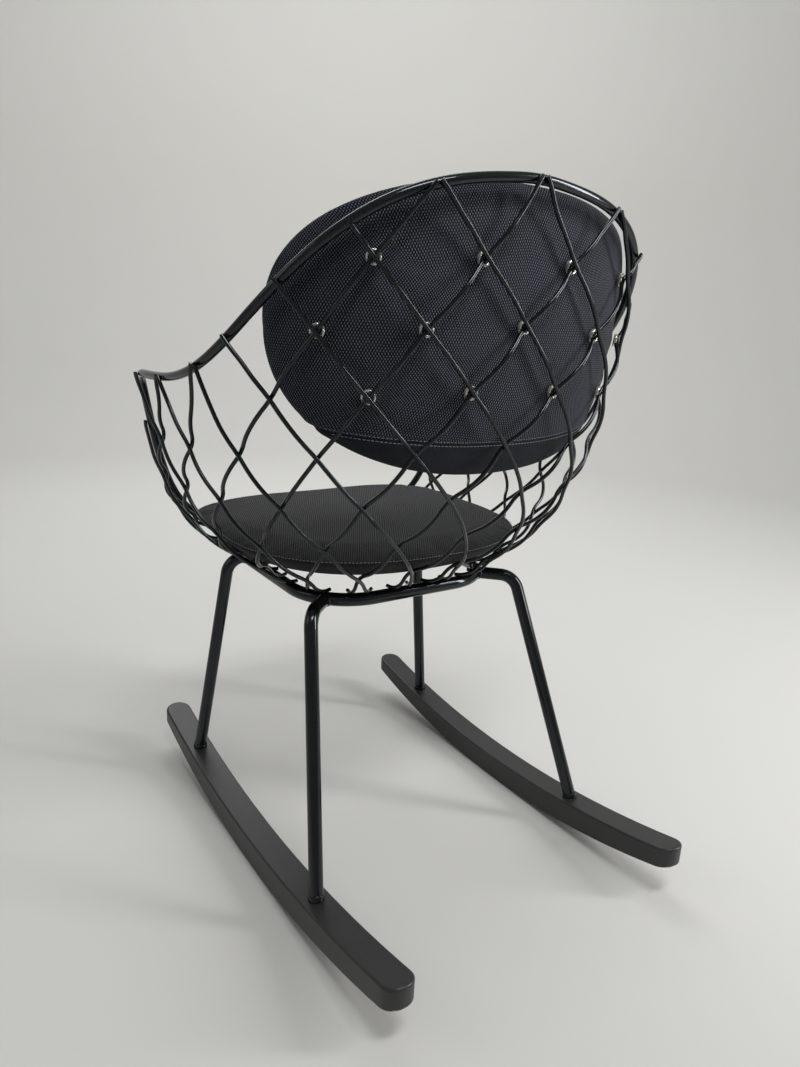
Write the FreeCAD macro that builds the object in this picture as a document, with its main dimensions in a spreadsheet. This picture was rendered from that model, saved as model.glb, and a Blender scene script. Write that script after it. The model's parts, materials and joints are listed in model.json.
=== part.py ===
"""Rocking armchair: a bucket of crossing steel wires on a ring, four bent legs and two wooden rockers.

The frame has +Z up, the sitter faces -Y, the sitter's left is +X. The origin is on the floor, under the
middle of the rockers.
"""
import FreeCAD, Part
import Sketcher
import math
import os
from FreeCAD import Placement, Rotation, Vector

doc = FreeCAD.newDocument("rocking_armchair")

# Driving dimensions, millimetres and degrees

SIZES = {
    # rockers
    "rocker_length": 706,
    "rocker_width": 40,
    "rocker_spacing": 432,
    "rocker_thickness": 37,
    "rocker_bottom_radius": 1194,
    "rocker_top_radius": 1528,
    "rocker_top_shift": 14,
    "rocker_end_radius": 19,
    "rocker_edge_radius": 3,
    # tubes of the ring and the legs
    "tube_dia": 18,
    "tube_wall": 1.5,
    "weld_gap": 0.15,
    "ring_half": 149,
    "ring_corner": 81,
    "ring_forward": 117.8,
    "ring_height": 369.5,
    "leg_bend": 28,
    "rear_joint_angle": 43,
    "rear_run": 58,
    "rear_foot": 161,
    "front_joint_angle": 14.5,
    "front_run": 27,
    "front_foot": 233,
    # sockets and screws that hold the legs in the rockers
    "socket_depth": 16,
    "socket_clearance": 0.15,
    "screw_dia": 6,
    "screw_head_dia": 10,
    "screw_head_height": 3.5,
    "screw_recess": 6,
    "screw_grip": 14,
    "plug_length": 18,
    # bucket of wires
    "wire_dia": 5,
    "outer_bow": 2.5,
    "inner_bow": 7,
    "wire_tail": 5,
    "side_flare": 111.3,
    "side_rise": 46.7,
    "side_slope": 0.13,
    "back_flare": 229.4,
    "back_rise": 140.4,
    "back_slope": -0.09,
    "front_flare": 100,
    "front_rise": 22,
    "back_power": 2.58,
    "front_power": 3.4,
    "power_fade": -0.0002,
    "ring_blend": 25,
    "lattice_height": 490.5,
    "lattice_sag": 15,
    "lattice_drop": 6.5,
    "lattice_spread": 1.4,
    # rim
    "rim_dia": 11,
    "rim_wall": 1.5,
    "rim_top": 881.7,
    "rim_arm": 642.7,
    "rim_front": 416,
    "back_step_angle": 47,
    "back_step_width": 11,
    "arm_step_angle": 123,
    "arm_step_width": 2.5,
    # cushions
    "rest_gap": 1.5,
    "seat_bottom": 406,
    "seat_thickness": 41,
    "seat_crown": 3,
    "seat_front": 290,
    "seat_back_power": 2.3,
    "seat_front_power": 5.2,
    "seat_edge": 10,
    "pad_middle": 717,
    "pad_height": 311,
    "pad_half_angle": 52.2,
    "pad_power": 2.2,
    "pad_thickness": 60,
    "pad_edge": 22,
    "clip_dia": 16,
    "clip_bore": 8,
    "clip_thickness": 2,
    "clip_gap": 0.3,
    "pad_gap": 0.8,
}

sheet = doc.addObject("Spreadsheet::Sheet", "Sizes")
for row, (alias, value) in enumerate(SIZES.items(), start=1):
    sheet.set(f"A{row}", alias)
    sheet.set(f"B{row}", str(value))
    sheet.setAlias(f"B{row}", alias)
doc.recompute()


def size(alias):
    """Value of a driving dimension."""
    return float(sheet.get(alias))


# The lattice has 18 wires each way. A wire's index and its row number fix a place on the bucket:
# half a row further down is a quarter of a pitch further round.
WIRES = 18
PITCH = 360 / WIRES
ROWS = 7.5
# First row of each wire, by index: where it leaves the rim. The last row of all is on the ring.
FIRST_ROWS = {
    -12: 6, -11: 6, -10: 6, -9: 5, -8: 4, -7: 3, -6: 3, -5: 3, -4: 2,
    -3: 1, -2: 0, -1: 0, 0: 0, 1: 0, 2: 3, 3: 3, 4: 6, 5: 6,
}
# A wire bends more tightly beside a crossing than between two: ratio of the two arcs there
CROSSING_RATIO = 0.5
# Angles from the back at which the rim's arcs meet, closer together where the arms come down
RIM_ANGLES = [
    *range(0, 100, 10), *range(100, 116, 4), *range(116, 132, 2), *range(132, 148, 4), *range(152, 181, 7),
]
UP = Vector(0, 0, 1)
SIDES = {"left": 1, "right": -1}

# Seat cushion: points of its outline, share of its thickness below its widest line, the sections of its
# side (share of the thickness, inset in edge radii) and of its upper edge (edge radii below the top, inset)
SEAT_POINTS = 24
SEAM_SHARE = 0.75
SEAT_SIDE = ((0.0, 1.4), (0.12, 0.55), (0.34, 0.2), (SEAM_SHARE, 0.0))
SEAT_UPPER_EDGE = ((0.5, 0.2), (0.12, 0.8))
SEAT_SHOULDER = 2
CROWN_STEPS = 4
CROWN_REACH = 0.85
# Back cushion: sections each way from its middle, how short of its tip the last one is, and the shares of
# its half height and of its thickness at which its faces turn into its round edges
PAD_STEPS = 6
PAD_TIP_INSET = 0.001
PAD_EDGE_SHARE = 0.1
PAD_REAR = 0.04
PAD_RIDGE = 0.38
PAD_FRONT = 0.82
# Clips sit behind the crossings of these rows, up to this many pitches from the middle
CLIP_ROWS = (1, 2, 3)
CLIP_REACH = 2

# Limits of the geometry code: what counts as straight, as upright or as level, and rounds of a search
STRAIGHT_TURN = 1e-9
STRAIGHT_RISE = 1e-4
UPRIGHT_TILT = 0.01
LEVEL_SLOPE = 0.6
SEARCH_ROUNDS = 40
# Rounds in which a wire is set against the rim, and how many of its arcs lie near the rim
SEAT_ROUNDS = 5
RIM_ARCS = 4

half_tube = size("tube_dia") / 2
half_wire = size("wire_dia") / 2
half_rim = size("rim_dia") / 2
ring_middle = Vector(0, -size("ring_forward"), size("ring_height"))
ring_start = ring_middle + Vector(size("ring_half"), 0, 0)
ring_core = size("ring_half") - size("ring_corner")
ring_crown = size("ring_height") + half_tube + half_wire + size("weld_gap")
wire_offset = half_wire + size("weld_gap")


# Paths and rods

def biarc(start, start_way, end, end_way, ratio=1.0):
    """Two arcs from start to end that keep both tangents; ratio is the first arc's share to the second's."""
    chord = end - start
    blend = start_way * ratio + end_way
    curve = 2 * ratio * (start_way.dot(end_way) - 1)
    reach = chord.dot(blend)
    if abs(curve) < STRAIGHT_TURN:
        second = chord.dot(chord) / (2 * reach)
    else:
        second = (reach - math.sqrt(reach * reach - curve * chord.dot(chord))) / curve
    first = ratio * second
    start_corner = start + start_way * first
    end_corner = end - end_way * second
    joint = start_corner + (end_corner - start_corner) * (first / (first + second))
    return [arc_edge(start, start_corner, joint), arc_edge(joint, end_corner, end)]


def arc_edge(start, corner, end):
    """Arc between two points whose end tangents meet at the corner, or a line where they are straight."""
    middle = (start + end) * 0.5
    half_chord = (end - start).Length / 2
    rise = (corner - middle).Length
    if rise < STRAIGHT_RISE:
        return Part.LineSegment(start, end).toShape()
    sagitta = rise * half_chord / ((corner - start).Length + half_chord)
    return Part.Arc(start, middle + (corner - middle) * (sagitta / rise), end).toShape()


def path_object(name, edges):
    """Document object that holds a path of edges."""
    path = doc.addObject("Part::Feature", name)
    path.Shape = Part.Wire(edges)
    return path


def swept_rod(name, path, start, way, radius):
    """Round rod along a path; radius is an expression of the sheet."""
    section = doc.addObject("Part::Circle", name + "_section")
    section.setExpression("Radius", radius)
    section.Placement = Placement(start, Rotation(UP, way))
    rod = doc.addObject("Part::Sweep", name)
    rod.Sections = [section]
    rod.Spine = (path, [f"Edge{number}" for number in range(1, len(path.Shape.Edges) + 1)])
    rod.Solid = True
    return rod


def swept_tube(name, path, start, way, radius, wall):
    """Hollow round tube along a path."""
    tube = doc.addObject("Part::Cut", name)
    tube.Base = swept_rod(name + "_outside", path, start, way, radius)
    tube.Tool = swept_rod(name + "_bore", path, start, way, f"{radius} - {wall}")
    return tube


# Bucket surface

def ring_reach(angle):
    """Distance of the rounded square's centreline from its middle, at an angle from the back."""
    across = abs(math.sin(angle))
    along = abs(math.cos(angle))
    straight = size("ring_half") / max(across, along)
    if straight * min(across, along) <= ring_core:
        return straight
    lean = ring_core * (across + along)
    return lean + math.sqrt(lean * lean - 2 * ring_core ** 2 + size("ring_corner") ** 2)


def swollen(reach, flare, rise, slope, height):
    """Reach that opens quickly just above the ring and then by a steady slope."""
    return reach + flare * (1 - math.exp(-height / rise)) + slope * height


def bucket_reach(angle, height):
    """Distance of the wire surface from the ring's middle line, at a height above the ring's crown."""
    ring_half = size("ring_half")
    wide = swollen(ring_half, size("side_flare"), size("side_rise"), size("side_slope"), height)
    if math.cos(angle) >= 0:
        ring_power = size("back_power")
        deep = swollen(ring_half, size("back_flare"), size("back_rise"), size("back_slope"), height)
    else:
        ring_power = size("front_power")
        deep = swollen(ring_half, size("front_flare"), size("front_rise"), 0, height)
    oval = oval_reach(angle, wide, deep, ring_power - size("power_fade") * height)
    at_ring = oval_reach(angle, ring_half, ring_half, ring_power)
    return oval + (ring_reach(angle) - at_ring) * math.exp(-height / size("ring_blend"))


def oval_reach(angle, wide, deep, power):
    """Distance of a squared oval's edge from its middle, at an angle from its deep axis."""
    across = abs(math.sin(angle)) / wide
    along = abs(math.cos(angle)) / deep
    return (across ** power + along ** power) ** (-1 / power)


def polar_point(angle, reach, height):
    """Point at an angle from the back and a reach from the ring's middle line, above the ring's crown."""
    return Vector(reach * math.sin(angle), ring_middle.y + reach * math.cos(angle), ring_crown + height)


def bucket_point(angle, height):
    """Point of the wire surface."""
    return polar_point(angle, bucket_reach(angle, height), height)


def bucket_normal(angle, height):
    """Outward normal of the wire surface."""
    turn = 0.001
    climb = 0.1
    round_way = bucket_point(angle + turn, height) - bucket_point(angle - turn, height)
    up_way = bucket_point(angle, height + climb) - bucket_point(angle, max(height - climb, 0))
    return up_way.cross(round_way).normalize()


def rim_height(angle):
    """Height of the rim above the ring's crown: a high back, two arms and a low front."""
    degrees = abs(math.degrees(math.remainder(angle, 2 * math.pi)))
    back = 1 / (1 + math.exp((degrees - size("back_step_angle")) / size("back_step_width")))
    arms = 1 / (1 + math.exp((degrees - size("arm_step_angle")) / size("arm_step_width")))
    level = size("rim_front") + arms * (size("rim_arm") - size("rim_front"))
    return level + back * (size("rim_top") - size("rim_arm")) - ring_crown


def lattice_angle(place):
    """Angle of a lattice place, counted in pitches from the back; positive places are on the right.

    The places lie further apart on the four sides than at the corners between them.
    """
    turn = math.radians(PITCH * place)
    return -turn - math.radians(size("lattice_spread")) * math.sin(4 * turn)


def lattice_height(place, row):
    """Height of a lattice row above the ring's crown."""
    share = row / ROWS
    fall = size("lattice_drop") * abs(place) * (1 - share ** 4)
    return size("lattice_height") * (1 - share) - 4 * size("lattice_sag") * share * (1 - share) - fall


# Rim

def rim_point(angle):
    return bucket_point(angle, rim_height(angle))


def rim_way(angle):
    """Tangent along the rim."""
    step = 0.005
    return (rim_point(angle + step) - rim_point(angle - step)).normalize()


def rim_edges():
    """Closed line along the bucket's edge."""
    degrees = RIM_ANGLES + [360 - angle for angle in reversed(RIM_ANGLES[:-1])]
    angles = [math.radians(angle) for angle in degrees]
    edges = []
    for start, end in zip(angles, angles[1:]):
        edges += biarc(rim_point(start), rim_way(start), rim_point(end), rim_way(end))
    return edges


rim_path = path_object("rim_path", rim_edges())


def add_rim():
    return swept_tube("rim", rim_path, rim_point(0), rim_way(0), "Sizes.rim_dia / 2", "Sizes.rim_wall")


# Wires of the bucket

class LatticeWire:
    """One wire of the family that leans to the right; the other family is its mirror image."""

    def __init__(self, index, offset, bow):
        self.index = index
        self.offset = offset
        self.bow = bow
        self.first = FIRST_ROWS[index]
        self.next_row = self.first + 1
        start = self.place(self.first)
        self.paired = any(other + FIRST_ROWS[other] / 2 in (-start, WIRES - start) for other in FIRST_ROWS)
        self.outset = half_rim + half_wire + size("weld_gap")
        self.lift = self.below_rim(self.first)
        if self.lift < -half_wire:
            self.first = self.rim_row()
            self.lift = 0.0
            self.paired = False

    def below_rim(self, row):
        """How far the lattice lies below the rim where the wire passes a row."""
        place = self.place(row)
        return rim_height(lattice_angle(place)) - lattice_height(place, row)

    def rim_row(self):
        """Row, in part, at which the wire comes down through the rim."""
        above, below = self.first, self.next_row
        for _ in range(SEARCH_ROUNDS):
            middle = (above + below) / 2
            if self.below_rim(middle) < 0:
                above = middle
            else:
                below = middle
        return below

    def place(self, row):
        return self.index + row / 2

    def height(self, row):
        """Height above the ring's crown: the lattice's, eased into the rim's over the first row."""
        fade = max(0.0, self.next_row - row) ** 2
        return lattice_height(self.place(row), row) + self.lift * fade

    def on_surface(self, row):
        return bucket_point(lattice_angle(self.place(row)), self.height(row))

    def way(self, row):
        """Tangent along the wire, downwards."""
        step = 0.02
        before = self.on_surface(max(row - step, self.first))
        return (self.on_surface(row + step) - before).normalize()

    def normal(self, row):
        return bucket_normal(lattice_angle(self.place(row)), self.height(row))

    def station(self, row):
        """Point and tangent of the wire at a row or half row."""
        if row == ROWS:
            return self.on_ring()
        point = self.on_surface(row)
        way = self.way(row)
        normal = self.normal(row)
        if row == self.first:
            point = point + normal * self.outset
            if self.paired:
                beside = wire_offset + 3 * size("weld_gap")
                point = point + UP.cross(normal).normalize() * beside + UP * half_wire
            else:
                point = point - way * half_wire
        elif row == int(row):
            point = point + normal * self.offset
        else:
            point = point + normal * (self.offset + self.bow)
        return point, way

    def on_ring(self):
        """Point on the ring's crown, where the wire has turned level."""
        just_before = 0.1
        way = self.way(ROWS - just_before)
        return bucket_point(lattice_angle(self.place(ROWS)), 0), Vector(way.x, way.y, 0).normalize()

    def seat(self):
        """Set the upper end against the rim, so that a weld's gap is left where the wire passes it."""
        wanted = half_rim + half_wire + size("weld_gap")
        for _ in range(SEAT_ROUNDS):
            edges, _ = self.edges()
            self.outset += wanted - Part.Wire(edges[:RIM_ARCS]).distToShape(rim_path.Shape)[0]

    def edges(self):
        """Biarcs from station to station, tighter at the crossings, and a straight tail over the ring."""
        last_row = int(ROWS)
        halves = range(2 * self.next_row, 2 * last_row + 1)
        rows = [self.first, (self.first + self.next_row) / 2, *(half / 2 for half in halves), ROWS]
        stations = [self.station(row) for row in rows]
        edges = []
        for row, (start, start_way), (end, end_way) in zip(rows, stations, stations[1:]):
            ratio = CROSSING_RATIO if row == int(row) else 1 / CROSSING_RATIO
            edges += biarc(start, start_way, end, end_way, ratio)
        tail = stations[-1][0] + stations[-1][1] * size("wire_tail")
        return edges + [Part.LineSegment(stations[-1][0], tail).toShape()], stations[0]


def mirrored_edge(edge):
    return edge.mirror(Vector(0, 0, 0), Vector(1, 0, 0))


def add_wires():
    """Both families of lattice wires: the outer lies outside the inner at every crossing."""
    wires = []
    for number, index in enumerate(sorted(FIRST_ROWS), start=1):
        outer = LatticeWire(index, wire_offset, size("outer_bow"))
        outer.seat()
        edges, (start, way) = outer.edges()
        name = f"wire_outer_{number:02d}"
        path = path_object(name + "_path", edges)
        wires.append(swept_rod(name, path, start, way, "Sizes.wire_dia / 2"))
        inner = LatticeWire(index, -wire_offset, size("inner_bow"))
        inner.seat()
        edges, (start, way) = inner.edges()
        name = f"wire_inner_{number:02d}"
        path = path_object(name + "_path", [mirrored_edge(edge) for edge in edges])
        start = Vector(-start.x, start.y, start.z)
        way = Vector(-way.x, way.y, way.z)
        wires.append(swept_rod(name, path, start, way, "Sizes.wire_dia / 2"))
    return wires


# Base ring

def ring_edges():
    """Rounded square from the middle of its left side round to the same point."""
    half = size("ring_half")
    corner = size("ring_corner")
    edges = []
    for quarter in range(4):
        turn = Rotation(UP, 90 * quarter)
        arc_middle = Vector(ring_core + corner * math.sqrt(0.5), ring_core + corner * math.sqrt(0.5), 0)
        corner_points = (Vector(half, ring_core, 0), arc_middle, Vector(ring_core, half, 0))
        side_end, arc_mid, arc_end = [ring_middle + turn.multVec(point) for point in corner_points]
        next_side = ring_middle + turn.multVec(Vector(0, half, 0))
        side_middle = ring_middle + turn.multVec(Vector(half, 0, 0))
        edges.append(Part.LineSegment(side_middle, side_end).toShape())
        edges.append(Part.Arc(side_end, arc_mid, arc_end).toShape())
        edges.append(Part.LineSegment(arc_end, next_side).toShape())
    return edges


def add_ring(path):
    along_side = Vector(0, 1, 0)
    return swept_tube("base_ring", path, ring_start, along_side, "Sizes.tube_dia / 2", "Sizes.tube_wall")


# Sketches

def origin_plane(body, role):
    return next(feature for feature in body.Origin.OriginFeatures if feature.Role == role)


def add_sketch(body, name, role):
    sketch = body.newObject("Sketcher::SketchObject", name)
    sketch.AttachmentSupport = [(origin_plane(body, role), "")]
    sketch.MapMode = "FlatFace"
    return sketch


def bind(sketch, name, constraint, expression):
    """Named dimension of a sketch, driven by the sheet."""
    number = sketch.addConstraint(constraint)
    sketch.renameConstraint(number, name)
    sketch.setExpression(f"Constraints.{name}", expression)


# Legs

class LegPlan:
    """Where a leg runs: square off the ring's rounded corner, round its bend and down into its rocker."""

    def __init__(self, end, side):
        self.end = end
        self.side = side
        facing = 1 if end == "rear" else -1
        turn = math.radians(size(f"{end}_joint_angle"))
        self.out = Vector(side * math.cos(turn), facing * math.sin(turn), 0)
        corner = ring_middle + Vector(side * ring_core, facing * ring_core, 0)
        self.joint = corner + self.out * size("ring_corner")
        foot = facing * size(f"{end}_foot")
        self.foot = Vector(side * size("rocker_spacing") / 2, foot, rocker_top(foot))
        bend = self.joint + self.out * size(f"{end}_run")
        self.way = (self.foot - bend).normalize()

    def at(self, depth):
        """Point of the leg's axis at a depth below the rocker's top."""
        return self.foot + self.way * (depth / -self.way.z)


def rocker_top(along):
    """Height of the rocker's top at a distance behind its middle."""
    radius = size("rocker_top_radius")
    from_middle = along + size("rocker_top_shift")
    return size("rocker_thickness") + radius - math.sqrt(radius ** 2 - from_middle ** 2)


def rocker_bottom(along):
    radius = size("rocker_bottom_radius")
    return radius - math.sqrt(radius ** 2 - along ** 2)


def add_leg(name, plan, cope):
    """Bent tube in the plane of its run and its straight, coped to the outside of the ring."""
    body = doc.addObject("PartDesign::Body", name + "_tube")
    up = (plan.out * plan.out.dot(plan.way) - plan.way).normalize()
    body.Placement = Placement(plan.joint, Rotation(plan.out, up.cross(plan.out), up, "XYZ"))
    bend = size("leg_bend")
    corner = size(f"{plan.end}_run")
    foot = plan.at(size("socket_depth")) - plan.joint
    run = foot.dot(plan.out)
    drop = -foot.dot(up)
    tilt = math.atan2(run - corner, drop)
    tangent = bend * math.tan((math.pi / 2 - tilt) / 2)

    path = add_sketch(body, name + "_path", "XZ_Plane")
    bend_start = Vector(corner - tangent, 0, 0)
    bend_end = Vector(corner + tangent * math.sin(tilt), -tangent * math.cos(tilt), 0)
    circle = Part.Circle(Vector(corner - tangent, -bend, 0), UP, bend)
    path.addGeometry(Part.LineSegment(Vector(0, 0, 0), bend_start))
    path.addGeometry(Part.ArcOfCircle(circle, tilt, math.pi / 2))
    path.addGeometry(Part.LineSegment(bend_end, Vector(run, -drop, 0)))
    path.addGeometry(Part.Point(Vector(corner, 0, 0)), True)
    path.addConstraint(Sketcher.Constraint("Coincident", 0, 1, -1, 1))
    path.addConstraint(Sketcher.Constraint("Horizontal", 0))
    path.addConstraint(Sketcher.Constraint("Tangent", 0, 2, 1, 2))
    path.addConstraint(Sketcher.Constraint("Tangent", 1, 1, 2, 1))
    path.addConstraint(Sketcher.Constraint("PointOnObject", 3, 1, -1))
    path.addConstraint(Sketcher.Constraint("PointOnObject", 3, 1, 2))
    path.addConstraint(Sketcher.Constraint("DistanceX", -1, 1, 2, 2, run))
    path.addConstraint(Sketcher.Constraint("DistanceY", 2, 2, -1, 1, drop))
    bind(path, "bend", Sketcher.Constraint("Radius", 1, bend), "Sizes.leg_bend")
    bind(path, "corner", Sketcher.Constraint("DistanceX", -1, 1, 3, 1, corner), f"Sizes.{plan.end}_run")

    section = add_sketch(body, name + "_section", "YZ_Plane")
    for number, (label, expression) in enumerate((
        ("outside", "Sizes.tube_dia / 2"),
        ("bore", "Sizes.tube_dia / 2 - Sizes.tube_wall"),
    )):
        radius = half_tube - number * size("tube_wall")
        section.addGeometry(Part.Circle(Vector(0, 0, 0), UP, radius))
        section.addConstraint(Sketcher.Constraint("Coincident", number, 3, -1, 1))
        bind(section, label, Sketcher.Constraint("Radius", number, radius), expression)
    doc.recompute()

    pipe = body.newObject("PartDesign::AdditivePipe", name + "_pipe")
    pipe.Profile = section
    pipe.Spine = (path, ["Edge1", "Edge2", "Edge3"])
    body.Tip = pipe
    leg = doc.addObject("Part::Cut", name)
    leg.Base = body
    leg.Tool = cope
    return leg


# Rockers

def cylinder(name, placement, radius, height):
    """Cylinder whose Z axis starts at a placement; radius is an expression, height one or a length."""
    solid = doc.addObject("Part::Cylinder", name)
    solid.setExpression("Radius", radius)
    if isinstance(height, str):
        solid.setExpression("Height", height)
    else:
        solid.Height = height
    solid.Placement = placement
    return solid


def screw_exit(plan):
    """Depth below the rocker's top at which a leg's axis leaves the rocker's bottom."""
    depth = size("rocker_thickness")
    for _ in range(SEARCH_ROUNDS):
        depth = plan.foot.z - rocker_bottom(plan.at(depth).y)
    return depth


def on_axis(plan, depth, shift):
    """Placement on the leg's axis, a distance along it from a depth below the rocker's top."""
    return Placement(plan.at(depth) + plan.way * shift, Rotation(UP, plan.way))


def add_rocker(name, side, plans):
    """Bowed wooden runner, rounded in plan at both ends, bored for two legs and their screws."""
    body = doc.addObject("PartDesign::Body", name + "_blank")
    body.Placement = Placement(Vector(side * size("rocker_spacing") / 2, 0, 0), Rotation())
    half = size("rocker_length") / 2
    profile = add_sketch(body, name + "_profile", "YZ_Plane")
    bottom_radius = size("rocker_bottom_radius")
    top_radius = size("rocker_top_radius")
    shift = size("rocker_top_shift")
    bottom_middle = Vector(0, bottom_radius, 0)
    top_middle = Vector(-shift, size("rocker_thickness") + top_radius, 0)
    corners = {
        end: [Vector(end * half, level(end * half), 0) for level in (rocker_bottom, rocker_top)]
        for end in (-1, 1)
    }

    def arc(middle, radius, first, last):
        start_angle, end_angle = [math.atan2(p.y - middle.y, p.x - middle.x) for p in (first, last)]
        return Part.ArcOfCircle(Part.Circle(middle, UP, radius), start_angle, end_angle)

    profile.addGeometry(arc(bottom_middle, bottom_radius, corners[-1][0], corners[1][0]))
    profile.addGeometry(Part.LineSegment(corners[1][0], corners[1][1]))
    profile.addGeometry(arc(top_middle, top_radius, corners[-1][1], corners[1][1]))
    profile.addGeometry(Part.LineSegment(corners[-1][1], corners[-1][0]))
    for joint in ((0, 2, 1, 1), (1, 2, 2, 2), (2, 1, 3, 1), (3, 2, 0, 1)):
        profile.addConstraint(Sketcher.Constraint("Coincident", *joint))
    profile.addConstraint(Sketcher.Constraint("Vertical", 1))
    profile.addConstraint(Sketcher.Constraint("Vertical", 3))
    profile.addConstraint(Sketcher.Constraint("PointOnObject", 0, 3, -2))
    profile.addConstraint(Sketcher.Constraint("Symmetric", 0, 1, 0, 2, -2))
    bind(profile, "bottom_radius", Sketcher.Constraint("Radius", 0, bottom_radius),
         "Sizes.rocker_bottom_radius")
    bind(profile, "top_radius", Sketcher.Constraint("Radius", 2, top_radius), "Sizes.rocker_top_radius")
    bind(profile, "length", Sketcher.Constraint("DistanceX", 0, 1, 0, 2, 2 * half), "Sizes.rocker_length")
    bind(profile, "bottom", Sketcher.Constraint("DistanceY", -1, 1, 0, 3, bottom_radius),
         "Sizes.rocker_bottom_radius")
    bind(profile, "shift", Sketcher.Constraint("DistanceX", 2, 3, -1, 1, shift), "Sizes.rocker_top_shift")
    bind(profile, "top", Sketcher.Constraint("DistanceY", -1, 1, 2, 3, top_middle.y),
         "Sizes.rocker_thickness + Sizes.rocker_top_radius")
    pad = body.newObject("PartDesign::Pad", name + "_pad")
    pad.Profile = profile
    pad.SideType = "Symmetric"
    pad.setExpression("Length", "Sizes.rocker_width")
    doc.recompute()

    uprights = edge_names(pad, is_upright)
    ends = add_fillet(body, name + "_ends", pad, uprights, "Sizes.rocker_end_radius")
    rims = edge_names(ends, lambda edge: not is_upright(edge) and is_outline(edge))
    softened = add_fillet(body, name + "_edges", ends, rims, "Sizes.rocker_edge_radius")
    body.Tip = softened

    bores = doc.addObject("Part::MultiFuse", name + "_bores")
    tools = []
    for plan in plans:
        label = f"{name}_{plan.end}"
        depth = size("socket_depth")
        exit_depth = screw_exit(plan)
        clearance = "Sizes.socket_clearance"
        reach = size("rocker_thickness")
        tools.append(cylinder(label + "_socket", on_axis(plan, depth, -reach + size("socket_clearance")),
                              f"Sizes.tube_dia / 2 + {clearance}", "Sizes.rocker_thickness"))
        tools.append(cylinder(label + "_hole", on_axis(plan, depth, 0),
                              f"Sizes.screw_dia / 2 + {clearance}", "Sizes.rocker_thickness"))
        tools.append(cylinder(label + "_recess", on_axis(plan, exit_depth, -size("screw_recess")),
                              f"Sizes.screw_head_dia / 2 + {clearance}", "Sizes.rocker_thickness"))
    bores.Shapes = tools
    rocker = doc.addObject("Part::Cut", name)
    rocker.Base = body
    rocker.Tool = bores
    return rocker


def is_upright(edge):
    way = edge.tangentAt(edge.FirstParameter)
    return abs(way.z) > 1 - UPRIGHT_TILT


def is_outline(edge):
    """An edge between the top or bottom and the upright sides, not one along a side."""
    return abs(edge.tangentAt((edge.FirstParameter + edge.LastParameter) / 2).z) < LEVEL_SLOPE


def edge_names(feature, wanted):
    return [f"Edge{number}" for number, edge in enumerate(feature.Shape.Edges, start=1) if wanted(edge)]


def add_fillet(body, name, base, edges, radius):
    fillet = body.newObject("PartDesign::Fillet", name)
    fillet.Base = (base, edges)
    fillet.setExpression("Radius", radius)
    body.Tip = fillet
    doc.recompute()
    return fillet


def add_screws(plans):
    """A screw per leg, head up in the rocker's underside, and the plug in the tube that it grips."""
    screws = []
    plugs = []
    for plan in plans:
        label = f"{plan.end}_{'left' if plan.side > 0 else 'right'}"
        exit_depth = screw_exit(plan)
        head_place = on_axis(plan, exit_depth, -size("screw_recess"))
        shank_place = on_axis(plan, size("socket_depth"), -size("screw_grip"))
        shank_length = (head_place.Base - shank_place.Base).Length
        head = cylinder(f"screw_head_{label}", head_place, "Sizes.screw_head_dia / 2",
                        "Sizes.screw_head_height")
        shank = cylinder(f"screw_shank_{label}", shank_place, "Sizes.screw_dia / 2", shank_length)
        screw = doc.addObject("Part::Fuse", f"screw_{label}")
        screw.Base = head
        screw.Tool = shank
        screws.append(screw)
        plug_place = on_axis(plan, size("socket_depth"), -size("plug_length"))
        plug = doc.addObject("Part::Cut", f"plug_{label}")
        plug.Base = cylinder(f"plug_blank_{label}", plug_place,
                             "Sizes.tube_dia / 2 - Sizes.tube_wall - Sizes.socket_clearance",
                             "Sizes.plug_length")
        plug.Tool = cylinder(f"plug_bore_{label}", plug_place,
                             "Sizes.screw_dia / 2 + Sizes.socket_clearance", "Sizes.plug_length")
        plugs.append(plug)
    return group("rocker_screws", screws), group("leg_plugs", plugs)


def group(name, members):
    compound = doc.addObject("Part::Compound", name)
    compound.Links = members
    return compound


# Cushions

def closed_arcs(points):
    """Closed outline of arcs, each through three neighbouring points."""
    count = len(points)
    return Part.Wire([
        Part.Arc(points[first], points[first + 1], points[(first + 2) % count]).toShape()
        for first in range(0, count, 2)
    ])


def loft(name, outlines, ruled=False):
    """Solid through closed outlines, straight from one to the next if ruled."""
    sections = []
    for number, outline in enumerate(outlines, start=1):
        section = doc.addObject("Part::Feature", f"{name}_section_{number}")
        section.Shape = outline
        sections.append(section)
    solid = doc.addObject("Part::Loft", name)
    solid.Sections = sections
    solid.Ruled = ruled
    solid.Solid = True
    return solid


def inside_wires(angle, level):
    """Point at a level just inside the inner wires."""
    height = level - ring_crown
    clear = wire_offset + half_wire + size("rest_gap")
    return bucket_point(angle, height) - bucket_normal(angle, height) * clear


def seat_outline(wide, back, front, level):
    """Outline between a half width and the y of its back and front edges, squarer in front."""
    middle = (back + front) / 2
    deep = (back - front) / 2
    points = []
    for step in range(SEAT_POINTS):
        angle = step * 2 * math.pi / SEAT_POINTS
        power = size("seat_back_power") if math.cos(angle) >= 0 else size("seat_front_power")
        reach = oval_reach(angle, wide, deep, power)
        points.append(Vector(reach * math.sin(angle), middle + reach * math.cos(angle), level))
    return closed_arcs(points)


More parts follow.
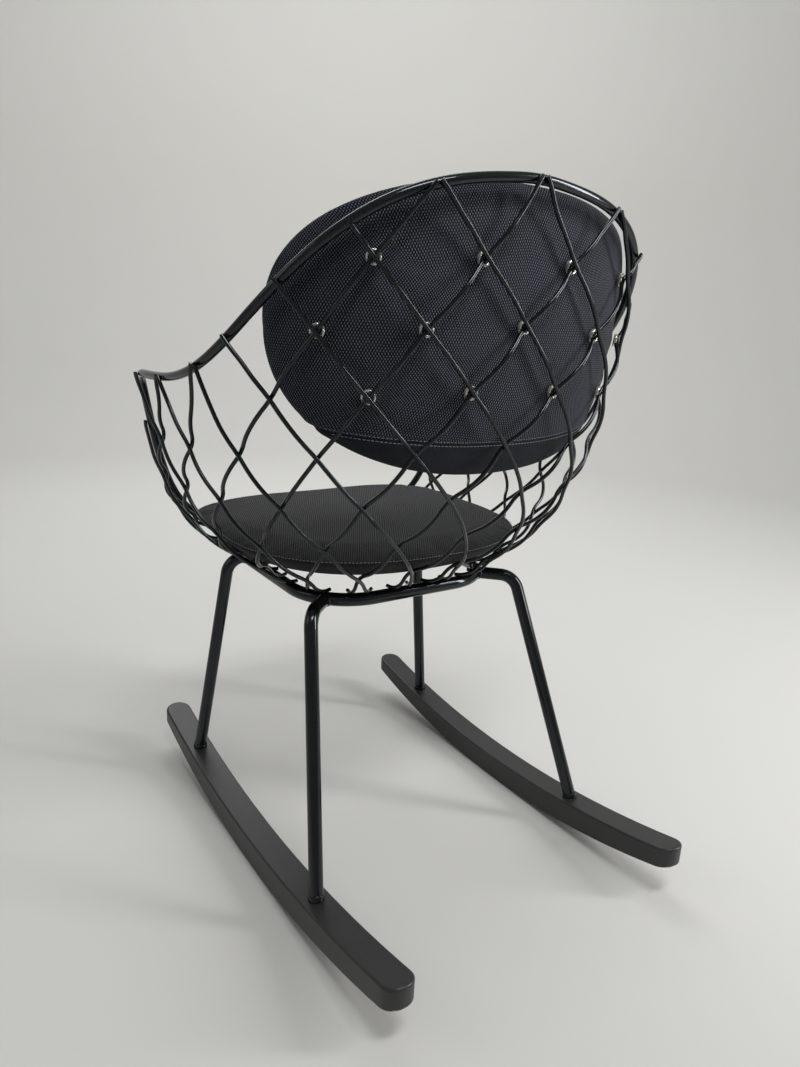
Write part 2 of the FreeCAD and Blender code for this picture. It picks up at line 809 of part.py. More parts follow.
def add_seat_cushion():
    """Pad whose lower side follows the bowl, with a rounded upper edge and a low crown."""
    bottom = size("seat_bottom")
    thickness = size("seat_thickness")
    edge = size("seat_edge")
    crown = size("seat_crown")
    front = -size("seat_front")
    seam = bottom + SEAM_SHARE * thickness
    top = bottom + thickness
    outlines = []
    for share, radii in SEAT_SIDE:
        level = bottom + share * thickness
        inset = radii * edge
        wide = inside_wires(math.pi / 2, level).x - inset
        back = inside_wires(0, level).y - inset
        outlines.append(seat_outline(wide, back, front + inset, level))
    wide = inside_wires(math.pi / 2, seam).x
    back = inside_wires(0, seam).y
    for drop, radii in SEAT_UPPER_EDGE:
        inset = radii * edge
        outlines.append(seat_outline(wide - inset, back - inset, front + inset, top - drop * edge))
    shoulder = SEAT_SHOULDER * edge
    centre = CROWN_REACH * (back - front) / 2
    for step in range(CROWN_STEPS + 1):
        share = step / CROWN_STEPS
        inset = shoulder + share * (centre - shoulder)
        level = top + crown * (1 - (1 - share) ** 2)
        outlines.append(seat_outline(wide - inset, back - inset, front + inset, level))
    return loft("seat_cushion", outlines, ruled=True)


def add_back_cushion():
    """Curved oval pad along the inside of the back wires, thinner towards its ends."""
    half_angle = math.radians(size("pad_half_angle"))
    power = size("pad_power")
    clear = wire_offset + half_wire + size("clip_gap") + size("clip_thickness") + size("pad_gap")
    outlines = []
    for step in range(-PAD_STEPS, PAD_STEPS + 1):
        share = (1 - PAD_TIP_INSET) * abs(math.sin(step * math.pi / 2 / PAD_STEPS))
        oval = (1 - share ** power) ** (1 / power)
        half_height = size("pad_height") / 2 * oval
        thick = size("pad_edge") + (size("pad_thickness") - size("pad_edge")) * oval
        outlines.append(back_outline(math.copysign(share, step) * half_angle, half_height, thick, clear))
    return loft("back_cushion", outlines)


def back_outline(angle, half_height, thick, clear):
    """Upright section of the back cushion: a rear face, a front face and two round edges."""
    middle = size("pad_middle") - ring_crown
    shoulder = 1 - PAD_EDGE_SHARE

    def point(depth, rise):
        height = middle + rise * half_height
        return polar_point(angle, bucket_reach(angle, height) - clear - depth, height)

    return closed_arcs([
        point(PAD_REAR * thick, -shoulder),
        point(0, 0),
        point(PAD_REAR * thick, shoulder),
        point(PAD_RIDGE * thick, 1),
        point(PAD_FRONT * thick, shoulder),
        point(thick, 0),
        point(PAD_FRONT * thick, -shoulder),
        point(PAD_RIDGE * thick, -1),
    ])


def add_clips():
    """Ring-shaped clips behind the upper crossings, between the wires and the back cushion."""
    clips = []
    for row in CLIP_ROWS:
        outermost = CLIP_REACH - 0.5 * (row % 2)
        for step in range(int(2 * outermost) + 1):
            place = step - outermost
            angle = lattice_angle(place)
            height = lattice_height(place, row)
            normal = bucket_normal(angle, height)
            inside = wire_offset + half_wire + size("clip_gap")
            placement = Placement(bucket_point(angle, height) - normal * inside, Rotation(UP, normal * -1))
            label = f"clip_{row}_{step + 1}"
            clip = doc.addObject("Part::Cut", label)
            clip.Base = cylinder(label + "_disc", placement, "Sizes.clip_dia / 2", "Sizes.clip_thickness")
            clip.Tool = cylinder(label + "_bore", placement, "Sizes.clip_bore / 2", "Sizes.clip_thickness")
            clips.append(clip)
    return group("cushion_clips", clips)


# Assembly

ring_path = path_object("ring_path", ring_edges())
cope = swept_rod("ring_cope", ring_path, ring_start, Vector(0, 1, 0), "Sizes.tube_dia / 2 + Sizes.weld_gap")
nodes = [add_ring(ring_path), add_rim()]
nodes += add_wires()
leg_plans = []
for side_name, side in SIDES.items():
    plans = [LegPlan(end, side) for end in ("front", "rear")]
    for plan in plans:
        nodes.append(add_leg(f"leg_{plan.end}_{side_name}", plan, cope))
    nodes.append(add_rocker(f"rocker_{side_name}", side, plans))
    leg_plans += plans
nodes += add_screws(leg_plans)
nodes += [add_seat_cushion(), add_back_cushion(), add_clips()]
doc.recompute()

for item in doc.Objects:
    if "Invalid" in item.State or "Error" in item.State:
        raise RuntimeError(f"{item.Name} failed: {item.State}")
for node in nodes:
    if node.Shape.isNull() or not node.Shape.isValid() or not node.Shape.Solids:
        raise RuntimeError(f"{node.Label} has no valid solid")

os.makedirs("parts", exist_ok=True)
for node in nodes:
    node.Shape.exportStep(f"parts/{node.Label}.step")
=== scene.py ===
# %% [markdown]
# # A rocking armchair with a wire bucket
#
# The chair is a bucket of crossing steel wires on a ring of tube, four bent legs and two wooden
# rockers. A loose cushion lies on the seat and a curved one is clipped to the wires of the back.
# The rigid parts come from a finished CAD model, which is loaded as a fixed frame. This lesson
# dresses that frame: the rods and rockers keep their shape and get finishes, and the soft parts are
# made anew.

# %% Load the frame
import json
import math

import bpy
import numpy as np
from mathutils import Matrix, Vector


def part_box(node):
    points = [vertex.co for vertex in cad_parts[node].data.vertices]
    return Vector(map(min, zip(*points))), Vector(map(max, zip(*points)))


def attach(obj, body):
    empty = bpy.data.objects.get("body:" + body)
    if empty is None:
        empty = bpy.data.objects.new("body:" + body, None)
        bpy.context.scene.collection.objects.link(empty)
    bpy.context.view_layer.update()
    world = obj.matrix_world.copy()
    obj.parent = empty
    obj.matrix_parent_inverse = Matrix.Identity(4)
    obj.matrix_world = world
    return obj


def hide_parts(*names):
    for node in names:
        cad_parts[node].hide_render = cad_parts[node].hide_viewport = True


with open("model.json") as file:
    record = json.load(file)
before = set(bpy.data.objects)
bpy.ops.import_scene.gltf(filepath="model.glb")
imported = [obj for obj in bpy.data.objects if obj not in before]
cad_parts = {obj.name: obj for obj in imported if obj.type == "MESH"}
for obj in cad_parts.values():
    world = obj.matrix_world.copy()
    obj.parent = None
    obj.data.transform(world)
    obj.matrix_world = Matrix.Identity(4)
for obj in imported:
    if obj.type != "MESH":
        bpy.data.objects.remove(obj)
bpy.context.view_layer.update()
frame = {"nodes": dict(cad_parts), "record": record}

scene = bpy.context.scene

# %% [markdown]
# ## The viewpoint
#
# The chair is seen from behind its left arm, by a camera at about the height of its rim that looks
# a little down. A camera can be placed by eye, or by its measured place and three turns. Measured
# values are used here, because the frame has real sizes. Blender counts the lens along the longer
# side of the picture, so the focal length in pixels is divided by that side.

# %% Camera
IMAGE_SIZE = (800, 1067)
FOCAL_PIXELS = 797.6
EYE = (0.6128, 0.8751, 0.7410)
YAW = math.radians(34.61)
PITCH = math.radians(15.63)
ROLL = math.radians(2.93)


def aim(yaw, pitch, roll):
    """Camera axes as matrix columns: forward from yaw and pitch, then right and up turned by roll."""
    ahead = math.cos(pitch)
    forward = Vector((-math.sin(yaw) * ahead, -math.cos(yaw) * ahead, -math.sin(pitch)))
    level = forward.cross(Vector((0, 0, 1))).normalized()
    above = level.cross(forward)
    right = level * math.cos(roll) + above * math.sin(roll)
    up = above * math.cos(roll) - level * math.sin(roll)
    return Matrix((right, up, -forward)).transposed()


camera = bpy.data.objects.new("camera", bpy.data.cameras.new("camera"))
scene.collection.objects.link(camera)
camera.data.lens = FOCAL_PIXELS * camera.data.sensor_width / max(IMAGE_SIZE)
camera.matrix_world = Matrix.Translation(EYE) @ aim(YAW, PITCH, ROLL).to_4x4()
scene.camera = camera
print("lens:", round(camera.data.lens, 2), "mm")

# %% [markdown]
# ## Writing shaders as sums
#
# A shader is a graph of nodes, and drawing it by hand hides the maths. A small class that wraps a
# socket lets Python's own operators add the Math nodes, so that a mask reads as a formula. All other
# nodes come from one method, which takes the node's type, its settings and its inputs.

# %% Sockets and finishes


class Value:
    """A number that a node gives out. Sums with it add Math nodes."""

    def __init__(self, finish, socket):
        self.finish = finish
        self.socket = socket

    def math(self, operation, *others):
        inputs = dict(enumerate((self, *others)))
        return self.finish.node("ShaderNodeMath", {"operation": operation}, inputs)

    def __add__(self, other):
        return self.math("ADD", other)

    def __sub__(self, other):
        return self.math("SUBTRACT", other)

    def __mul__(self, other):
        return self.math("MULTIPLY", other)

    def __truediv__(self, other):
        return self.math("DIVIDE", other)

    def __pow__(self, other):
        return self.math("POWER", other)

    def __rsub__(self, other):
        return self.finish.node("ShaderNodeMath", {"operation": "SUBTRACT"}, {0: other, 1: self})

    __radd__ = __add__
    __rmul__ = __mul__

    def step(self, low, high):
        """0 below low, 1 above high and a smooth ramp between."""
        settings = {"interpolation_type": "SMOOTHSTEP"}
        return self.finish.node("ShaderNodeMapRange", settings, {0: self, 1: low, 2: high})


class Finish:
    """A material with one Principled shader."""

    def __init__(self, name, **constants):
        self.material = bpy.data.materials.new(name)
        self.material.use_nodes = True
        self.tree = self.material.node_tree
        self.shader = self.tree.nodes["Principled BSDF"]
        self.set(**constants)

    def node(self, kind, settings, inputs, output=0):
        """New node of that type: settings first, then the values or links of its sockets."""
        made = self.tree.nodes.new(kind)
        for key, value in settings.items():
            setattr(made, key, value)
        for key, value in inputs.items():
            self.feed(made.inputs[key], value)
        return Value(self, made.outputs[output])

    def feed(self, socket, value):
        if isinstance(value, Value):
            self.tree.links.new(value.socket, socket)
        else:
            socket.default_value = value

    def set(self, **inputs):
        """Inputs of the shader, by their names with underscores."""
        for key, value in inputs.items():
            self.feed(self.shader.inputs[key.replace("_", " ")], value)

    def place(self, scale=(1, 1, 1)):
        """Object coordinates in metres, stretched by a scale."""
        where = self.node("ShaderNodeTexCoord", {}, {}, "Object")
        return self.node("ShaderNodeVectorMath", {"operation": "MULTIPLY"}, {0: where, 1: scale})

    def axes(self, vector):
        split = self.node("ShaderNodeSeparateXYZ", {}, {0: vector}).socket.node
        return [Value(self, socket) for socket in split.outputs]

    def noise(self, where, scale, detail=3.0, roughness=0.5):
        inputs = {"Vector": where, "Scale": scale, "Detail": detail, "Roughness": roughness}
        return self.node("ShaderNodeTexNoise", {}, inputs)

    def mix(self, share, first, second):
        """Colour between two colours."""
        inputs = {0: share, 6: first, 7: second}
        return self.node("ShaderNodeMix", {"data_type": "RGBA"}, inputs, 2)

    def attribute(self, name):
        return self.node("ShaderNodeAttribute", {"attribute_name": name}, {}, "Fac")

    def bump(self, height, distance, strength=1.0):
        inputs = {"Height": height, "Distance": distance, "Strength": strength}
        self.set(Normal=self.node("ShaderNodeBump", {}, inputs))


def grey(level, tint=1.0):
    """Colour of a grey level, with its blue raised by the tint and its green a little."""
    return (level, level * tint ** 0.25, level * tint, 1)


# %% [markdown]
# ## Coated steel
#
# The rods, tubes and rim are steel under a black powder coat. Powder flows into a faint orange peel
# when it is baked, so the gloss is soft and a little uneven. A plain black with one roughness looks
# like plastic; here a fine noise bends the normal and a broad one moves the roughness.

# %% Powder coat
COAT_PEEL = 900
COAT_PATCHES = 35
COAT_PEEL_HEIGHT = 0.000004
COAT_SHEEN = (0.82, 0.91, 1.0, 1)
COAT_DARK = grey(0.003, 1.15)
COAT_PALE = grey(0.006, 1.15)

coated_steel = Finish("coated_steel", Specular_IOR_Level=0.45, Specular_Tint=COAT_SHEEN)
coat_place = coated_steel.place()
coat_patches = coated_steel.noise(coat_place, COAT_PATCHES)
coated_steel.set(
    Base_Color=coated_steel.mix(coat_patches, COAT_DARK, COAT_PALE),
    Roughness=0.10 + 0.08 * coat_patches,
)
coated_steel.bump(coated_steel.noise(coat_place, COAT_PEEL, 1.0), COAT_PEEL_HEIGHT)

# %% [markdown]
# ## Stained wood
#
# Each rocker is one length of hardwood, stained black and sealed with a satin lacquer. Its grain runs
# along the rocker, so the noise is stretched along Y. Tipping the chair back has chipped the lower
# edge of the rear ends, where the pale wood shows. A mask of height above the curved underside finds
# that edge, and noise breaks it up.

# %% Stained wood and its chips
GRAIN_STRETCH = (420, 9, 420)
PORE_STRETCH = (1500, 45, 1500)
ROCKER_BOW = 1.194
CHIP_START = 0.343
CHIP_HEIGHT = 0.0045
CHIP_FADE = 0.003
CHIP_WANDER = 0.02
CHIP_RAGGED = 2.2
GRAIN_RELIEF = 0.00006
STAIN_DARK = grey(0.013, 1.1)
STAIN_PALE = grey(0.021, 1.1)
RAW_WOOD = (0.52, 0.30, 0.15, 1)

stained_wood = Finish("stained_wood", Specular_IOR_Level=0.5)
wood_place = stained_wood.place()
grain = stained_wood.noise(stained_wood.place(GRAIN_STRETCH), 1.0, 4.0, 0.6)
pores = stained_wood.noise(stained_wood.place(PORE_STRETCH), 1.0, 2.0)
across, along, height = stained_wood.axes(wood_place)
underside = ROCKER_BOW - (ROCKER_BOW ** 2 - along * along) ** 0.5
ragged = stained_wood.noise(wood_place, 330, 4.0, 0.7)
low_edge = 1 - ((height - underside) / CHIP_HEIGHT + CHIP_RAGGED * (ragged - 0.5)).step(0.25, 0.5)
wander = CHIP_WANDER * (stained_wood.noise(wood_place, 60) - 0.5)
rear_end = (along + wander).step(CHIP_START, CHIP_START + CHIP_FADE)
chips = low_edge * rear_end
stain = stained_wood.mix(grain.step(0.3, 0.72), STAIN_DARK, STAIN_PALE)
stained_wood.set(
    Base_Color=stained_wood.mix(chips, stain, RAW_WOOD),
    Roughness=0.34 + 0.12 * grain + 0.3 * chips,
)
stained_wood.bump(grain * 0.5 + pores - chips, GRAIN_RELIEF)

# %% [markdown]
# ## Bare metal
#
# The clips are pale plated rings and the screws under the rockers are zinc-plated. Both are plain
# metals, so only their tone and roughness vary, by a cloudy noise.

# %% Clip plating and screw zinc
PLATING_DARK = (0.48, 0.46, 0.41, 1)
PLATING_PALE = (0.66, 0.63, 0.56, 1)
ZINC_DARK = (0.48, 0.49, 0.51, 1)
ZINC_PALE = (0.62, 0.62, 0.63, 1)

clip_plating = Finish("clip_plating", Metallic=0.6)
clip_cloud = clip_plating.noise(clip_plating.place(), 240)
clip_plating.set(
    Base_Color=clip_plating.mix(clip_cloud, PLATING_DARK, PLATING_PALE),
    Roughness=0.10 + 0.14 * clip_cloud,
)
screw_zinc = Finish("screw_zinc", Metallic=1.0)
zinc_cloud = screw_zinc.noise(screw_zinc.place(), 500)
screw_zinc.set(
    Base_Color=screw_zinc.mix(zinc_cloud, ZINC_DARK, ZINC_PALE),
    Roughness=0.28 + 0.2 * zinc_cloud,
)

# %% Finishes of the frame's own parts
PART_FINISHES = {"coated_steel": coated_steel, "stained_wood": stained_wood, "zinc_steel": screw_zinc}
for part in frame["record"]["subparts"]:
    if part["material_slot"] in PART_FINISHES:
        mesh = frame["nodes"][part["node"]].data
        mesh.materials.clear()
        mesh.materials.append(PART_FINISHES[part["material_slot"]].material)

# %% [markdown]
# ## Meshes from arrays
#
# Every new piece is a formula on a grid of two parameters. The grid's points are one array, its quads
# another, and both go into the mesh in one call each. A grid may wrap round either way, as a ring
# does both ways and a tube one way.

# %% Grid meshes
TINY = 1e-9


def unit(vectors):
    """Vectors of length one, along the last axis."""
    return vectors / np.maximum(np.linalg.norm(vectors, axis=-1, keepdims=True), TINY)


def grid_quads(index, wrap_rows=False, wrap_columns=False):
    """Quads between neighbouring entries of a two-way array of vertex numbers."""
    if wrap_rows:
        index = np.concatenate([index, index[:1]])
    if wrap_columns:
        index = np.concatenate([index, index[:, :1]], axis=1)
    corners = (index[:-1, :-1], index[:-1, 1:], index[1:, 1:], index[1:, :-1])
    return np.stack(corners, axis=-1).reshape(-1, 4)


def add_piece(name, points, quads, finish, body):
    """Smooth mesh object of points and quads, with its finish, riding on a body of the frame."""
    mesh = bpy.data.meshes.new(name)
    mesh.from_pydata(points.reshape(-1, 3).tolist(), [], quads.tolist())
    mesh.polygons.foreach_set("use_smooth", np.ones(len(mesh.polygons), bool))
    mesh.materials.append(finish.material)
    piece = bpy.data.objects.new(name, mesh)
    scene.collection.objects.link(piece)
    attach(piece, body)
    return piece


def read_points(mesh):
    flat = np.empty(len(mesh.vertices) * 3, np.float32)
    mesh.vertices.foreach_get("co", flat)
    return flat.reshape(-1, 3).astype(float)


def write_points(mesh, points):
    mesh.vertices.foreach_set("co", points.astype(np.float32).ravel())
    mesh.update()


# %% [markdown]
# ## The bucket's surface
#
# Cushion, clips and wires all follow one surface, which opens quickly above the ring and then rises
# steeply. Its plan is a squared oval about the ring's middle. The same formula made the wires, so
# what is placed by it fits them. The ring's own place and size are read from the frame.

# %% Bucket formula
TUBE_RADIUS = 0.009
WIRE_RADIUS = 0.0025
WELD_GAP = 0.00015
ring_low, ring_high = (np.array(corner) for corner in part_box("base_ring"))
ring_middle = (ring_low + ring_high) / 2
RING_HALF = (ring_high[0] - ring_low[0]) / 2 - TUBE_RADIUS
RING_CORNER = 0.081
RING_CROWN = ring_middle[2] + TUBE_RADIUS + WIRE_RADIUS + WELD_GAP
SIDE_FLARE = (0.1113, 0.0467, 0.13)
BACK_FLARE = (0.2294, 0.1404, -0.09)
OVAL_POWER = 2.58
POWER_GAIN = 0.2
PROBE = 0.001


def swollen(flare, height):
    """Half width: the ring's, plus a flare that eases in with height, plus a steady slope."""
    size, rise, slope = flare
    return RING_HALF + size * (1 - np.exp(-height / rise)) + slope * height


def oval_reach(angle, wide, deep, power):
    """Distance of a squared oval's edge from its middle, at an angle from its deep axis."""
    across = np.abs(np.sin(angle)) / wide
    along = np.abs(np.cos(angle)) / deep
    return (across ** power + along ** power) ** (-1 / power)


def bucket_point(angle, level, depth):
    """Point a depth inside the rear half of the wire surface, at an angle from the back and a level."""
    height = level - RING_CROWN
    power = OVAL_POWER + POWER_GAIN * height
    reach = oval_reach(angle, swollen(SIDE_FLARE, height), swollen(BACK_FLARE, height), power) - depth
    sideways = reach * np.sin(angle)
    backwards = ring_middle[1] + reach * np.cos(angle)
    return np.stack([sideways, backwards, level + 0 * reach], axis=-1)


print("ring: half width", round(RING_HALF, 4), "crown", round(RING_CROWN, 4))

# %% [markdown]
# ## Welds and collars
#
# Each leg is sawn to the ring's curve and welded to it all round, and a thin sleeve closes the gap
# where it enters its rocker. Two tubes of one size that meet square do so along the curve
# (r |cos a|, r cos a, r sin a). The bead is a round section carried along that curve, with a ripple for
# each step of the torch. A sleeve is a profile turned about the leg. The legs' places are worked out
# as the frame's were, from a joint on the ring's corner to a foot on the rocker.

# %% Leg places
LEG_SIDE = np.array([1, -1, 1, -1])
LEG_FACING = np.array([-1, -1, 1, 1])
LEG_TURN = np.radians([14.5, 14.5, 43, 43])
LEG_RUN = np.array([0.027, 0.027, 0.058, 0.058])
LEG_FOOT = np.array([-0.233, -0.233, 0.161, 0.161])
ROCKER_AWAY = 0.216
ROCKER_THICKNESS = 0.037
ROCKER_TOP_BOW = 1.528
ROCKER_TOP_SHIFT = 0.014

level_zero = np.zeros(len(LEG_SIDE))
leg_out = np.stack([LEG_SIDE * np.cos(LEG_TURN), LEG_FACING * np.sin(LEG_TURN), level_zero], axis=1)
ring_core = RING_HALF - RING_CORNER
leg_corner = ring_middle + ring_core * np.stack([LEG_SIDE, LEG_FACING, level_zero], axis=1)
leg_joint = leg_corner + leg_out * RING_CORNER
foot_drop = np.sqrt(ROCKER_TOP_BOW ** 2 - (LEG_FOOT + ROCKER_TOP_SHIFT) ** 2)
foot_level = ROCKER_THICKNESS + ROCKER_TOP_BOW - foot_drop
leg_foot = np.stack([ROCKER_AWAY * LEG_SIDE, LEG_FOOT, foot_level], axis=1)
leg_way = unit(leg_foot - leg_joint - leg_out * LEG_RUN[:, None])

# %% Welds and collars
BEAD_STEPS = 144
BEAD_SIDES = 12
BEAD_RADIUS = 0.0017
BEAD_RIPPLES = 30
BEAD_RIPPLE = 0.1
BEAD_KINK = 0.03
COLLAR_SIDES = 48
COLLAR_HEIGHTS = np.array([-0.001, 0.0046, 0.0052, 0.0055, 0.0055])
COLLAR_RADII = np.array([0.0102, 0.0102, 0.0100, 0.0096, 0.0089])


def closed_tubes(paths, radius, sides):
    """Round tubes along closed paths: each point plus a circle square to the path there."""
    ways = unit(np.roll(paths, -1, axis=1) - np.roll(paths, 1, axis=1))
    away = paths - paths.mean(axis=1, keepdims=True)
    first = unit(away - ways * (away * ways).sum(axis=-1, keepdims=True))
    second = np.cross(ways, first)
    turn = np.arange(sides) * 2 * math.pi / sides
    circle = first[:, :, None, :] * np.cos(turn)[:, None] + second[:, :, None, :] * np.sin(turn)[:, None]
    return paths[:, :, None, :] + circle * radius[:, None, None]


def add_grids(name, points, finish, body, wrap_rows):
    """One piece of several grids that wrap along their columns."""
    index = np.arange(points.size // 3).reshape(points.shape[:3])
    quads = np.concatenate([grid_quads(one, wrap_rows, True) for one in index])
    piece = add_piece(name, points, quads, finish, body)
    print(name, ":", len(index), "shapes of", len(quads) // len(index), "quads")
    return piece


bead_turn = np.arange(BEAD_STEPS) * 2 * math.pi / BEAD_STEPS
bead_out = TUBE_RADIUS * np.sqrt(np.cos(bead_turn) ** 2 + BEAD_KINK)
leg_across = np.cross([0, 0, 1], leg_out)
bead_paths = (
    leg_joint[:, None, :]
    + leg_out[:, None, :] * bead_out[:, None]
    + leg_across[:, None, :] * (TUBE_RADIUS * np.cos(bead_turn))[:, None]
    + np.array([0, 0, 1]) * (TUBE_RADIUS * np.sin(bead_turn))[:, None]
)
bead_radius = BEAD_RADIUS * (1 + BEAD_RIPPLE * np.cos(BEAD_RIPPLES * bead_turn))
bead_points = closed_tubes(bead_paths, bead_radius, BEAD_SIDES)
add_grids("leg_welds", bead_points, coated_steel, "frame", True)

collar_side = unit(np.cross(leg_way, [0, 1, 0]))
collar_turn = np.arange(COLLAR_SIDES) * 2 * math.pi / COLLAR_SIDES
collar_round = (
    collar_side[:, None, :] * np.cos(collar_turn)[:, None]
    + np.cross(collar_side, leg_way)[:, None, :] * np.sin(collar_turn)[:, None]
)
collar_points = (
    leg_foot[:, None, None, :]
    - leg_way[:, None, None, :] * COLLAR_HEIGHTS[:, None, None]
    + collar_round[:, None, :, :] * COLLAR_RADII[:, None, None]
)
add_grids("leg_collars", collar_points, coated_steel, "frame", False)

# %% [markdown]
# ## Pads as two faces
#
# A pad is two panels of cloth that meet at a seam along its outline. Each panel is a square grid laid
# onto a squared oval, so it has no pole, and rings of the grid stay parallel to the seam. The two
# grids share the points of the seam. Distances along the grid give each panel its own cloth
# coordinates, in metres, and so the weave follows the curve of the pad.

# %% Pad grids
EDGE_CROWDING = 1.6


def square_grid(columns, rows):
    return np.meshgrid(np.linspace(-1, 1, columns), np.linspace(-1, 1, rows))


def grid_ring(s, t):
    """Which square ring of the grid a point is on: 0 in the middle, 1 at the seam."""
    return np.maximum(np.abs(s), np.abs(t))


def crowded(ring):
    """Radius 1 - (1 - r)^crowding, which draws the rings together towards the seam."""
    return 1 - (1 - ring) ** EDGE_CROWDING


def on_oval(s, t, power, radius):
    """Square to squared oval: each ring of the square goes to the oval of that radius."""
    length = (np.abs(s) ** power + np.abs(t) ** power) ** (1 / power)
    share = radius / np.maximum(length, TINY)
    return s * share, t * share


def dome(radius, power):
    """Height of a squared dome: 1 in the middle, upright at radius 1."""
    return np.maximum(1 - radius ** power, 0) ** (1 / power)


def cloth_coordinates(points):
    """Distances along the rows and the columns of a grid from its middle, in metres."""
    across = np.linalg.norm(np.diff(points, axis=1), axis=-1).cumsum(axis=1)
    along = np.linalg.norm(np.diff(points, axis=0), axis=-1).cumsum(axis=0)
    across = np.pad(across, ((0, 0), (1, 0)))
    along = np.pad(along, ((1, 0), (0, 0)))
    rows, columns = across.shape
    return np.stack([across - across[:, [columns // 2]], along - along[[rows // 2]]], axis=-1)


def seam_mask(shape):
    mask = np.ones(shape, bool)
    mask[1:-1, 1:-1] = False
    return mask


def add_pad(name, outer, inner, finish, body):
    """Closed pad of two grids whose rims coincide; outer is seen with its columns to the right."""
    shape = outer.shape[:2]
    count = outer.shape[0] * outer.shape[1]
    rim = seam_mask(shape)
    outer_index = np.arange(count).reshape(shape)
    inner_index = np.where(rim, outer_index, 0)
    inner_index[~rim] = count + np.arange((~rim).sum())
    points = np.concatenate([outer.reshape(-1, 3), inner[~rim]])
    outer_quads = grid_quads(outer_index)
    inner_quads = grid_quads(inner_index)[:, ::-1]
    quads = np.concatenate([outer_quads, inner_quads])
    pad = add_piece(name, points, quads, finish, body)
    layer = pad.data.uv_layers.new(name="cloth")
    local = np.arange(count).reshape(shape)
    corner_uv = np.concatenate([
        cloth_coordinates(outer).reshape(-1, 2)[grid_quads(local)].reshape(-1, 2),
        cloth_coordinates(inner).reshape(-1, 2)[grid_quads(local)[:, ::-1]].reshape(-1, 2),
    ])
    layer.uv.foreach_set("vector", corner_uv.astype(np.float32).ravel())
    return pad, outer_index, inner_index


def add_measure(pad, name, values):
    """Number for each vertex that the shader can read."""
    measure = pad.data.attributes.new(name, "FLOAT", "POINT")
    measure.data.foreach_set("value", values.astype(np.float32).ravel())


def read_measure(mesh, name):
    values = np.empty(len(mesh.vertices), np.float32)
    mesh.attributes[name].data.foreach_get("value", values)
    return values.astype(float)


# %% [markdown]
# ## Swelling the cloth
#
# A drawn pad is too even. Blender's cloth solver, with air pressure inside and no gravity, lets the
# cover find its own tension: it swells between the places that hold it. The seam is held at its full
# size. The upper panel of the seat and both panels of the back start a few millimetres low, and no
# point may move further than that. Then one subdivision rounds the quads.

# %% Cloth solver
SWELL = 0.004
CLOTH_FRAMES = 20


def swell(pad, held, pressure):
    """Inflate the pad's cloth; vertices where held is true stay in place."""
    start = read_points(pad.data)
    pins = pad.vertex_groups.new(name="held")
    pins.add(np.flatnonzero(held).tolist(), 1.0, "REPLACE")
    cloth = pad.modifiers.new("cover", "CLOTH")
    cloth.settings.quality = 6
    cloth.settings.mass = 0.25
    cloth.settings.tension_stiffness = 25
    cloth.settings.compression_stiffness = 8
    cloth.settings.bending_stiffness = 0.4
    cloth.settings.use_pressure = True
    cloth.settings.uniform_pressure_force = pressure
    cloth.settings.effector_weights.gravity = 0
    cloth.settings.vertex_group_mass = pins.name
    cloth.point_cache.frame_end = CLOTH_FRAMES
    for number in range(1, CLOTH_FRAMES + 1):
        scene.frame_set(number)
    graph = bpy.context.evaluated_depsgraph_get()
    moved = read_points(pad.evaluated_get(graph).data)
    pad.modifiers.remove(cloth)
    pad.vertex_groups.remove(pins)
    scene.frame_set(1)
    step = moved - start
    far = np.linalg.norm(step, axis=1, keepdims=True)
    write_points(pad.data, start + step * np.minimum(1, SWELL / np.maximum(far, TINY)))
    print(pad.name, "swelled by up to", round(1000 * float(far.max()), 1), "mm before the cap")


def subdivide(pad):
    """One applied subdivision; the first vertices stay those of the grids."""
    modifier = pad.modifiers.new("round", "SUBSURF")
    modifier.levels = 1
    modifier.render_levels = 1
    graph = bpy.context.evaluated_depsgraph_get()
    fine = bpy.data.meshes.new_from_object(pad.evaluated_get(graph))
    pad.modifiers.remove(modifier)
    pad.data = fine


# %% [markdown]
# ## Knit fabric
#
# Both covers are a coarse black knit: rows of raised loops, each row half a loop along from the next.
# The product of two cosines is such a staggered field. Its crests are painted paler, a painted
# highlight where the loops catch the light, and its valleys are painted nearly black, a painted shade
# in the recesses. Below the panel seam at the foot of the back cushion the cloth lies the other way,
# shows as upright ribs and is darker. The seat's sides are painted darker below its top, a painted
# shade where they turn from the light, and the colour darkens near the outline seams, a painted shade
# in their crease.

# %% Knit
LOOP_WIDTH = 0.0033
LOOP_HEIGHT = 0.0058
FUZZ = 2600
# Levels where the seat's painted shade on its sides gives way to its top, and the dimmest share of the
# crests
SEAT_SHADE_LEVELS = (0.433, 0.447)
DIMMEST_CRESTS = 0.3
PANEL_EDGE = 0.0005
SEAM_SHADE = 0.0016
KNIT_RELIEF = 0.0007


